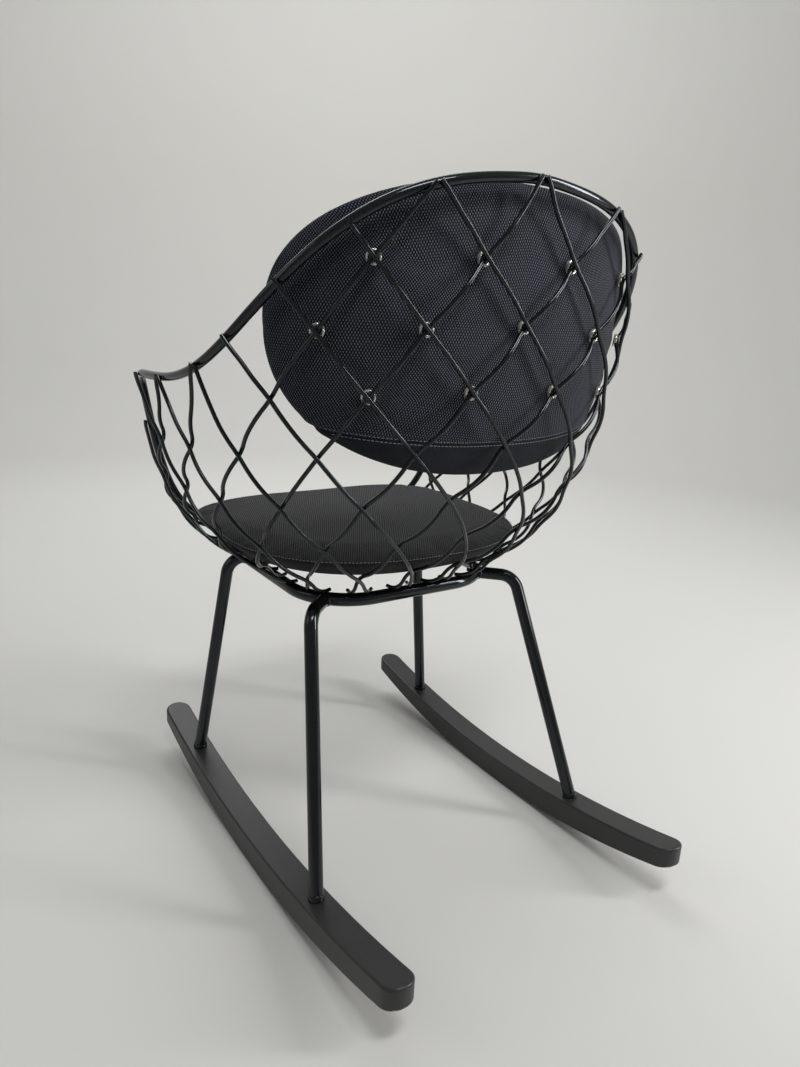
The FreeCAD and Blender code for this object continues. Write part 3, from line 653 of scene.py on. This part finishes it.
def knit_finish(name, loop, valley, ribbed):
    """Black knit, loops painted paler and valleys darker: ribbed and darker below the panel seam, or
    with painted shade low on the sides.
    """
    knit = Finish(name, Specular_IOR_Level=0.2, Sheen_Weight=0.04, Sheen_Roughness=0.4)
    cloth = knit.node("ShaderNodeUVMap", {"uv_map": "cloth"}, {})
    fuzz = knit.noise(knit.place(), FUZZ, 2.0)
    broad = knit.noise(knit.place(), 14)
    u, v, _ = knit.axes(cloth)
    u_wave = (u * (2 * math.pi / LOOP_WIDTH)).math("COSINE")
    v_wave = (v * (2 * math.pi / LOOP_HEIGHT)).math("COSINE")
    field = 0.5 + 0.5 * u_wave * v_wave
    if ribbed:
        ribs = 0.5 + 0.32 * (u * (4 * math.pi / LOOP_WIDTH)).math("COSINE")
        band = knit.attribute("panel").step(-PANEL_EDGE, PANEL_EDGE)
        field = band * field + (1 - band) * ribs
        # the crests are darker below the panel seam of the back
        crest_brightness = DIMMEST_CRESTS + (1 - DIMMEST_CRESTS) * band
    else:
        # painted shade: the seat's crests are painted darker low on its sides, which turn away from the
        # light
        level = knit.axes(knit.place())[2]
        crest_brightness = DIMMEST_CRESTS + (1 - DIMMEST_CRESTS) * level.step(*SEAT_SHADE_LEVELS)
    # painted highlight: the loop crests are painted paler, and the valleys dark as painted shade
    crest = field.step(0.45, 0.95)
    shade = crest_brightness * crest * (0.55 + 0.9 * fuzz) * (0.75 + 0.5 * broad)
    # painted shade: the colour darkens near the outline seams, in the crease the seam draws in
    seam = knit.attribute("seam").step(0.0, SEAM_SHADE)
    knit.set(
        Base_Color=knit.mix(shade * seam, valley, loop),
        Roughness=0.92 - 0.2 * crest,
    )
    knit.bump(field + 0.25 * fuzz, KNIT_RELIEF)
    return knit


# Colours of the painted highlight on the loops and of the painted shade in the valleys.
back_knit = knit_finish("back_knit", grey(0.112, 1.45), grey(0.0035, 1.9), True)
seat_knit = knit_finish("seat_knit", grey(0.105, 1.08), grey(0.009, 1.15), False)

# %% [markdown]
# ## Back cushion
#
# The back cushion is an oval pad bent to the bucket. Its rear panel lies against the clips, its front
# panel domes towards the sitter. A seam with two rows of stitches crosses the rear panel near its
# foot. The outline is a squared oval in angle and height, and a depth from the wire surface gives
# each panel its form.

# %% Back cushion form
PAD_MIDDLE = 0.717
PAD_HALF_HEIGHT = 0.160
PAD_HALF_ANGLE = math.radians(52.8)
PAD_POWER = 2.2
PAD_THICKNESS = 0.060
PAD_RIDGE = 0.38
PAD_CLEAR = 0.00825
REAR_DOME = 6.0
FRONT_DOME = 3.4
PAD_GRID = (131, 85)
PAD_MEAN_REACH = 0.30

pad_s, pad_t = square_grid(*PAD_GRID)
pad_radius = crowded(grid_ring(pad_s, pad_t))
pad_x, pad_y = on_oval(pad_s, pad_t, PAD_POWER, pad_radius)
pad_angle = -pad_x * PAD_HALF_ANGLE
pad_level = PAD_MIDDLE + pad_y * PAD_HALF_HEIGHT

# %% Clip places
CLIP_ROWS = (1, 2, 3)
CLIP_REACH = 2
LATTICE_ROWS = 7.5
LATTICE_HEIGHT = 0.4905
LATTICE_SAG = 0.015
LATTICE_DROP = 0.0065
REVERSE_ROUNDS = 4
PITCH_ANGLE = math.radians(20)
PITCH_SPREAD = math.radians(1.4)


def lattice(place, row):
    """Angle and level of a wire crossing, from its place in pitches round the bucket and its row."""
    share = row / LATTICE_ROWS
    turn = PITCH_ANGLE * place
    height = LATTICE_HEIGHT * (1 - share) - 4 * LATTICE_SAG * share * (1 - share)
    height = height - LATTICE_DROP * np.abs(place) * (1 - share ** 4)
    return -turn - PITCH_SPREAD * np.sin(4 * turn), RING_CROWN + height


clip_rows = [np.arange(2 * CLIP_REACH + 1 - row % 2) - CLIP_REACH + 0.5 * (row % 2) for row in CLIP_ROWS]
clip_place = np.concatenate(clip_rows)
clip_row = np.concatenate([np.full(len(places), row) for row, places in zip(CLIP_ROWS, clip_rows)])
clip_angle, clip_level = lattice(clip_place, clip_row)
print("clips:", len(clip_angle))

# %% Back cushion
TUFT_WIDTH = 0.013
TUFT_HOLD = 0.007
PILLOW_HEIGHT = 0.003
PILLOW_ROW = 2.0
PILLOW_ROWS = 1.7
PILLOW_PLACES = 2.3
FURROW_WIDTH = 0.13
BACK_PRESSURE = 4.0


def nearest_clip(angle, level):
    """Distance from each point of the rear panel to the nearest clip, along the panel."""
    sideways = (angle[..., None] - clip_angle) * PAD_MEAN_REACH
    upwards = level[..., None] - clip_level
    return np.hypot(sideways, upwards).min(axis=-1)


def lattice_place(angle, level):
    """Place and row of a point of the surface: lattice, reversed in a few rounds."""
    turn = -angle + PITCH_SPREAD * np.sin(4 * angle)
    place = turn / PITCH_ANGLE
    shares = np.linspace(0, 1, 200)
    heights = LATTICE_HEIGHT * (1 - shares) - 4 * LATTICE_SAG * shares * (1 - shares)
    share = np.zeros_like(level)
    for _ in range(REVERSE_ROUNDS):
        raised = level - RING_CROWN + LATTICE_DROP * np.abs(place) * (1 - share ** 4)
        share = np.interp(raised, heights[::-1], shares[::-1])
    return place, share * LATTICE_ROWS


def pillows(angle, level):
    """Pillows of height 1 between the wires, with furrows along them; none far beyond the clips."""
    place, row = lattice_place(angle, level)
    leaning = np.stack([place - row / 2, place + row / 2])
    across = np.abs(leaning - np.round(leaning)).min(axis=0)
    beyond = np.hypot((row - PILLOW_ROW) / PILLOW_ROWS, place / PILLOW_PLACES)
    return (1 - np.exp(-(across / FURROW_WIDTH) ** 2)) * np.clip(2 * (1.25 - beyond), 0, 1)


clip_distance = nearest_clip(pad_angle, pad_level)
ridge_depth = PAD_RIDGE * PAD_THICKNESS
tuft = SWELL * np.exp(-(clip_distance / TUFT_WIDTH) ** 2)
pillow = PILLOW_HEIGHT * pillows(pad_angle, pad_level)
rear_depth = PAD_CLEAR + SWELL + ridge_depth * (1 - dome(pad_radius, REAR_DOME)) - tuft - pillow
front_rise = (PAD_THICKNESS - ridge_depth - 2 * SWELL) * dome(pad_radius, FRONT_DOME)
front_depth = PAD_CLEAR + SWELL + ridge_depth + front_rise
rear_depth[seam_mask(rear_depth.shape)] = PAD_CLEAR + SWELL + ridge_depth
rear_panel = bucket_point(pad_angle, pad_level, rear_depth)
front_panel = bucket_point(pad_angle, pad_level, front_depth)

back_cushion, rear_index, front_index = add_pad("back_pad", rear_panel, front_panel, back_knit, "back")
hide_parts("back_cushion")

SEAM_LEVEL = 0.598
SEAM_CURVE = 0.030


def panel_seam_level(angle):
    """Height of the seam across the rear panel: level, with its ends a little up."""
    return SEAM_LEVEL + SEAM_CURVE * angle ** 2


panel = np.full(len(back_cushion.data.vertices), 1.0)
panel[rear_index] = pad_level - panel_seam_level(pad_angle)
add_measure(back_cushion, "panel", panel)
edge_run = np.full(len(back_cushion.data.vertices), 0.0)
edge_run[rear_index] = (1 - pad_radius) * PAD_HALF_HEIGHT + rear_depth.max() - rear_depth
edge_run[front_index] = (1 - pad_radius) * PAD_HALF_HEIGHT + front_depth - front_depth.min()
add_measure(back_cushion, "seam", edge_run)
held_clips = np.zeros(len(back_cushion.data.vertices), bool)
held_clips[rear_index] = (clip_distance < TUFT_HOLD) | seam_mask(rear_depth.shape)
swell(back_cushion, held_clips, BACK_PRESSURE)
print("back cushion:", len(back_cushion.data.polygons), "quads before subdivision")

# %% [markdown]
# ## Sewn seams
#
# A seam draws the cloth in. After the subdivision the mesh is fine enough for it: each point near a
# seam moves inwards along its normal, by a bell curve of its distance. Beside the seam of the rear
# panel the two layers of the hem stand a little proud.

# %% Seams
SEAM_DEPTH = 0.0022
SEAM_WIDTH = 0.0035
CROSS_SHARE = 0.6
CROSS_WIDTH = 0.002
HEM_RISE = 0.0007
HEM_OFFSET = 0.005


def draw_in(mesh, amount):
    """Move each vertex inwards along its normal."""
    normals = np.empty(len(mesh.vertices) * 3, np.float32)
    mesh.vertex_normals.foreach_get("vector", normals)
    write_points(mesh, read_points(mesh) - normals.reshape(-1, 3) * amount[:, None])


def bell(distance, width):
    return np.exp(-(distance / width) ** 2)


def keep_grid(pad, index):
    return read_points(pad.data)[index]


rear_final = keep_grid(back_cushion, rear_index)
subdivide(back_cushion)
edge = read_measure(back_cushion.data, "seam")
cross = read_measure(back_cushion.data, "panel")
hem = bell(np.abs(cross) - HEM_OFFSET, SEAM_WIDTH)
drawn = bell(edge, SEAM_WIDTH) + CROSS_SHARE * bell(cross, CROSS_WIDTH)
draw_in(back_cushion.data, SEAM_DEPTH * drawn - HEM_RISE * hem)

# %% [markdown]
# ## Stitches
#
# Each stitch is a short thread that dips into the cloth at both ends. One small capsule is made once
# and laid along a path many times. The path is read from the swollen grid, by its own two parameters,
# so that the thread lies on the cloth.

# %% Stitch rows
STITCH_LENGTH = 0.0036
STITCH_PITCH = 0.0048
STITCH_RADIUS = 0.00055
STITCH_SIDES = 6
STITCH_RINGS = 5
STITCH_BLUNT = 0.04
STITCH_SINK = 0.4
THREAD_DARK = grey(0.14, 1.1)
THREAD_PALE = grey(0.26, 1.12)

thread = Finish("thread", Roughness=0.8, Specular_IOR_Level=0.25)
thread_twist = thread.noise(thread.place((1, 1, 3)), 1500)
thread.set(Base_Color=thread.mix(thread_twist, THREAD_DARK, THREAD_PALE))


def sample(grid, s, t):
    """Points of a grid at parameters from -1 to 1, between its nearest four."""
    rows, columns = grid.shape[:2]
    column = np.clip((s + 1) / 2 * (columns - 1), 0, columns - 1.001)
    row = np.clip((t + 1) / 2 * (rows - 1), 0, rows - 1.001)
    left = column.astype(int)
    low = row.astype(int)
    right_share = (column - left)[:, None]
    high_share = (row - low)[:, None]
    lower = grid[low, left] * (1 - right_share) + grid[low, left + 1] * right_share
    upper = grid[low + 1, left] * (1 - right_share) + grid[low + 1, left + 1] * right_share
    return lower * (1 - high_share) + upper * high_share


def from_oval(x, y, power):
    """Square parameters of a point of the oval: the reverse of on_oval."""
    radius = (np.abs(x) ** power + np.abs(y) ** power) ** (1 / power)
    ring = 1 - (1 - np.minimum(radius, 1)) ** (1 / EDGE_CROWDING)
    largest = np.maximum(np.maximum(np.abs(x), np.abs(y)), TINY)
    return x / largest * ring, y / largest * ring


def evenly(path, pitch, vectors):
    """Vectors given along a path, at points of it that are a pitch apart."""
    run = np.concatenate([[0], np.linalg.norm(np.diff(path, axis=0), axis=1).cumsum()])
    stops = np.arange(pitch / 2, run[-1], pitch)
    return np.stack([np.interp(stops, run, column) for column in vectors.T], axis=1)


def stitches(path, outward):
    """Capsules along a path: a circle whose radius follows the root of a half sine, partly sunk."""
    centres = evenly(path, STITCH_PITCH, path)
    ways = unit(np.gradient(centres, axis=0))
    outs = evenly(path, STITCH_PITCH, outward)
    outs = unit(outs - ways * (outs * ways).sum(axis=1, keepdims=True))
    sides = np.cross(ways, outs)
    run, turn = np.meshgrid(
        np.linspace(0, 1, STITCH_RINGS), np.arange(STITCH_SIDES) / STITCH_SIDES, indexing="ij"
    )
    bow = np.sin(math.pi * np.clip(run, STITCH_BLUNT, 1 - STITCH_BLUNT))
    radius = STITCH_RADIUS * bow ** 0.5
    along = (run - 0.5) * STITCH_LENGTH
    around = radius * np.cos(2 * math.pi * turn)
    lift = radius * np.sin(2 * math.pi * turn) + 0.5 * STITCH_RADIUS * (bow - STITCH_SINK)
    basis = [centres, ways, sides, outs]
    centre, way, side, out = (part[:, None, None, :] for part in basis)
    points = centre + way * along[..., None] + side * around[..., None] + out * lift[..., None]
    index = np.arange(points.size // 3).reshape(points.shape[:3])
    quads = np.concatenate([grid_quads(one, wrap_columns=True) for one in index])
    return points.reshape(-1, 3), quads


def add_stitches(name, rows, body):
    """One piece of several rows of stitches, each row points and quads."""
    counts = np.cumsum([0] + [len(points) for points, _ in rows[:-1]])
    points = np.concatenate([points for points, _ in rows])
    quads = np.concatenate([quads + first for (_, quads), first in zip(rows, counts)])
    piece = add_piece(name, points, quads, thread, body)
    print(name, ":", len(quads), "quads")
    return piece


STITCH_OFFSET = 0.0024
SEAM_ENDS = 0.92


def panel_row(offset):
    """Row of stitches beside the seam of the rear panel, out to near the outline."""
    angle = np.linspace(-1, 1, 400) * PAD_HALF_ANGLE
    level = panel_seam_level(angle) + offset
    x = -angle / PAD_HALF_ANGLE
    y = (level - PAD_MIDDLE) / PAD_HALF_HEIGHT
    inside = (np.abs(x) ** PAD_POWER + np.abs(y) ** PAD_POWER) < SEAM_ENDS
    path = sample(rear_final, *from_oval(x[inside], y[inside], PAD_POWER))
    outward = unit(path - [0, ring_middle[1], 0]) * [1, 1, 0]
    return stitches(path, unit(outward))


add_stitches("back_pad_stitches", [panel_row(STITCH_OFFSET), panel_row(-STITCH_OFFSET)], "back")

# %% [markdown]
# ## Seat cushion
#
# The seat cushion is flatter and lies loose in the bowl. It is squarer in front than behind. Its upper
# panel has a low crown and a shoulder that is broad behind and tight in front, and its lower panel
# follows the wires. Two profiles are worked out, and each point mixes them by how far back it lies.

# %% Seat cushion
SEAT_BOTTOM = 0.406
SEAT_SEAM = 0.4335
SEAT_TOP = 0.449
SEAT_CROWN = 0.004
SEAT_FRONT = -0.290
SEAT_POWERS = (2.3, 5.2)
SEAT_CLEAR = 0.0058
SEAT_SHOULDERS = (0.93, 0.72)
SEAT_PRESSURE = 1.5
SEAT_FOOT = 0.95
FOOT_RISE = 0.006
SEAT_HALF = 0.22
SEAT_GRID = (131, 107)

seat_s, seat_t = square_grid(*SEAT_GRID)
seat_power = np.where(seat_t >= 0, *SEAT_POWERS)
seat_ring = grid_ring(seat_s, seat_t)


def seat_profile(share, level):
    """Share of the outline and level for each ring, with the rings evenly spaced along the profile."""
    run = np.concatenate([[0], np.hypot(np.diff(share) * SEAT_HALF, np.diff(level)).cumsum()])
    stops = seat_ring * run[-1]
    return np.interp(stops, run, share), np.interp(stops, run, level)


def inside_wires(angle, level):
    """Point of the bowl at a level, moved in to clear the wires' thickness square to the slope."""
    here = bucket_point(angle, level, 0.0)
    rise = bucket_point(angle, level + PROBE, 0.0) - here
    slope = np.hypot(rise[..., 0], rise[..., 1]) / PROBE
    return bucket_point(angle, level, SEAT_CLEAR * np.sqrt(1 + slope ** 2))


def seat_panel(share, level):
    """Oval whose width and back follow the bowl up to the seam."""
    held = np.minimum(level, SEAT_SEAM)
    wide = inside_wires(np.full(level.shape, math.pi / 2), held)[..., 0]
    back = inside_wires(np.zeros(level.shape), held)[..., 1]
    deep = (back - SEAT_FRONT) / 2
    x, y = on_oval(seat_s, seat_t, seat_power, share)
    return np.stack([x * wide, back - deep + y * deep, level], axis=-1)


quarter = np.linspace(0, math.pi / 2, 12)


def upper_profile(shoulder):
    """Crowned top out to the shoulder, then a quarter oval down to the seam."""
    top_share = np.linspace(0, shoulder, 20)
    return np.stack(seat_profile(
        np.concatenate([top_share, shoulder + (1 - shoulder) * np.sin(quarter)]),
        np.concatenate([
            SEAT_TOP - SWELL + SEAT_CROWN * (1 - (top_share / shoulder) ** 2),
            SEAT_SEAM + (SEAT_TOP - SWELL - SEAT_SEAM) * np.cos(quarter),
        ]),
    ))


rearward = 0.5 + 0.5 * seat_t / np.maximum(seat_ring, TINY)
front_profile, rear_profile = (upper_profile(shoulder) for shoulder in SEAT_SHOULDERS)
upper_share, upper_level = front_profile + (rear_profile - front_profile) * rearward
lower_share, lower_level = seat_profile(
    np.concatenate([[0.0], SEAT_FOOT + (1 - SEAT_FOOT) * np.sin(quarter), [1.0]]),
    np.concatenate([[SEAT_BOTTOM], SEAT_BOTTOM + FOOT_RISE * (1 - np.cos(quarter)), [SEAT_SEAM]]),
)
upper_panel = seat_panel(upper_share, upper_level)
lower_panel = seat_panel(lower_share, lower_level)
seat_cushion, upper_index, lower_index = add_pad("seat_pad", upper_panel, lower_panel, seat_knit, "seat")
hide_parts("seat_cushion")
seat_run = np.zeros(len(seat_cushion.data.vertices))
seat_run[upper_index] = (1 - upper_share) * SEAT_HALF + upper_level - SEAT_SEAM
seat_run[lower_index] = (1 - lower_share) * SEAT_HALF + SEAT_SEAM - lower_level
add_measure(seat_cushion, "seam", seat_run)
rests = np.zeros(len(seat_cushion.data.vertices), bool)
rests[lower_index] = True
swell(seat_cushion, rests, SEAT_PRESSURE)
upper_final = keep_grid(seat_cushion, upper_index)
subdivide(seat_cushion)
seat_edge = read_measure(seat_cushion.data, "seam")
draw_in(seat_cushion.data, SEAM_DEPTH * bell(seat_edge, SEAM_WIDTH))

# %% Seat stitches
SEAT_STITCH_RING = 0.985


def square_loop(ring, count):
    """Parameters of a closed ring of the square grid, from its lower left corner."""
    side = np.linspace(-ring, ring, count, endpoint=False)
    level = np.full(count, ring)
    return np.concatenate([side, level, -side, -level]), np.concatenate([-level, side, level, -side])


seat_path = sample(upper_final, *square_loop(SEAT_STITCH_RING, 300))
seat_middle = upper_final.reshape(-1, 3).mean(axis=0)
seat_out = unit((seat_path - seat_middle) * [1, 1, 0])
add_stitches("seat_pad_stitches", [stitches(seat_path, seat_out)], "seat")

# %% [markdown]
# ## Clips
#
# Behind each upper crossing a plated ring is set into the cover and grips the inner wire. Its wall is
# low along that wire and stands up in two jaws beside it. A ring is a rounded profile carried round a
# circle about the surface's normal, with a height that depends on the turn. All rings are one piece.

# %% Clip rings
CLIP_RADIUS = 0.0068
CLIP_BAND = 0.0013
CLIP_BASE = 0.0074
CLIP_JAW = 0.0028
CLIP_NOTCH = 0.0057
NOTCH_HALF = (0.0030, 0.0038)
CLIP_SIDES = 72
CLIP_PROFILE = 12
CLIP_SQUARE = 0.5

clip_centre = bucket_point(clip_angle, clip_level, 0.0)
round_way = bucket_point(clip_angle + PROBE, clip_level, 0.0) - clip_centre
up_way = unit(bucket_point(clip_angle, clip_level + PROBE, 0.0) - clip_centre)
clip_normal = unit(np.cross(up_way, round_way))
wire_way = unit(bucket_point(*lattice(clip_place - PROBE, clip_row + 2 * PROBE), 0.0) - clip_centre)
wire_side = np.cross(clip_normal, wire_way)
turn, profile = np.meshgrid(
    np.arange(CLIP_SIDES) * 2 * math.pi / CLIP_SIDES,
    np.arange(CLIP_PROFILE) * 2 * math.pi / CLIP_PROFILE,
    indexing="ij",
)


def squared(wave):
    """Wave from -1 to 1 with flatter crests: the profile's corners stay round."""
    return np.sign(wave) * np.abs(wave) ** CLIP_SQUARE


from_wire = CLIP_RADIUS * np.abs(np.sin(turn))
jaw = np.clip((from_wire - NOTCH_HALF[0]) / (NOTCH_HALF[1] - NOTCH_HALF[0]), 0, 1)
clip_top = CLIP_NOTCH + (CLIP_JAW - CLIP_NOTCH) * jaw * jaw * (3 - 2 * jaw)
clip_depth = (CLIP_BASE + clip_top) / 2 + (CLIP_BASE - clip_top) / 2 * squared(np.sin(profile))
clip_reach = CLIP_RADIUS + CLIP_BAND * squared(np.cos(profile))
ring_local = np.stack([clip_reach * np.cos(turn), clip_reach * np.sin(turn), -clip_depth], axis=-1)
clip_basis = np.stack([wire_way, wire_side, clip_normal], axis=1)
clip_points = clip_centre[:, None, None, :] + np.einsum("abk,ckm->cabm", ring_local, clip_basis)
clip_rings = add_grids("clip_rings", clip_points, clip_plating, "back", True)
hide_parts("cushion_clips")

# %% [markdown]
# ## The studio
#
# The chair stands on a pale floor that curves up into a round wall, so that no horizon shows from any
# side. A tall narrow lamp stands to the right, as a window would, and a wide one hangs above: long lamps
# show as lines on rods of many slopes. Softer ones light the front, the left and the wall, and the
# open top lets an even light in.

# %% Floor, wall and light
COVE_RADIUS = 4.5
COVE_CURVE = 1.5
COVE_HEIGHT = 4.0
COVE_SIDES = 96
BACKDROP_DARK = (0.625, 0.62, 0.595, 1)
BACKDROP_PALE = (0.65, 0.645, 0.62, 1)
WORLD_COLOUR = (0.95, 0.97, 1.0, 1)
WORLD_LEVEL = 0.26

backdrop = Finish("backdrop", Roughness=0.9, Specular_IOR_Level=0.1)
backdrop_cloud = backdrop.noise(backdrop.place(), 1.5)
backdrop.set(Base_Color=backdrop.mix(backdrop_cloud, BACKDROP_DARK, BACKDROP_PALE))

bend = np.linspace(0, math.pi / 2, 13)
flat_end = COVE_RADIUS - COVE_CURVE
cove_reach = np.concatenate([[0.0, 1.0, 2.0], flat_end + COVE_CURVE * np.sin(bend), [COVE_RADIUS]])
cove_level = np.concatenate([[0.0, 0.0, 0.0], COVE_CURVE * (1 - np.cos(bend)), [COVE_HEIGHT]])
cove_turn = np.arange(COVE_SIDES) * 2 * math.pi / COVE_SIDES
cove_points = np.stack([
    np.outer(cove_reach, np.cos(cove_turn)),
    np.outer(cove_reach, np.sin(cove_turn)),
    np.outer(cove_level, np.ones(COVE_SIDES)),
], axis=-1)
cove_index = np.arange(cove_points.size // 3).reshape(cove_points.shape[:2])
cove_mesh = bpy.data.meshes.new("cove")
cove_quads = grid_quads(cove_index, wrap_columns=True)[:, ::-1]
cove_mesh.from_pydata(cove_points.reshape(-1, 3).tolist(), [], cove_quads.tolist())
cove_mesh.polygons.foreach_set("use_smooth", np.ones(len(cove_mesh.polygons), bool))
cove_mesh.materials.append(backdrop.material)
cove = bpy.data.objects.new("cove", cove_mesh)
scene.collection.objects.link(cove)


def add_lamp(name, place, target, size, power):
    """Soft lamp of a width and a height at a place, turned towards a target."""
    lamp = bpy.data.objects.new(name, bpy.data.lights.new(name, "AREA"))
    lamp.data.shape = "RECTANGLE"
    lamp.data.size, lamp.data.size_y = size
    lamp.data.energy = power
    lamp.location = place
    lamp.rotation_euler = (Vector(target) - Vector(place)).to_track_quat("-Z", "Y").to_euler()
    scene.collection.objects.link(lamp)


CHAIR_MIDDLE = (0, -0.05, 0.45)
WALL_MIDDLE = (-2.4, -3.4, 0.9)
add_lamp("window", (-1.75, 1.5, 1.35), CHAIR_MIDDLE, (0.35, 1.6), 38)
add_lamp("top", (0.15, 1.25, 2.6), CHAIR_MIDDLE, (1.0, 0.4), 26)
add_lamp("front", (-0.3, -2.2, 2.4), CHAIR_MIDDLE, (1.4, 1.4), 14)
add_lamp("fill", (2.0, -0.6, 1.6), CHAIR_MIDDLE, (1.0, 1.0), 3)
add_lamp("wall", (-0.9, -1.6, 3.2), WALL_MIDDLE, (1.6, 1.6), 58)
world = bpy.data.worlds.new("studio")
world.use_nodes = True
world.node_tree.nodes["Background"].inputs["Color"].default_value = WORLD_COLOUR
world.node_tree.nodes["Background"].inputs["Strength"].default_value = WORLD_LEVEL
scene.world = world
scene.view_settings.view_transform = "Standard"
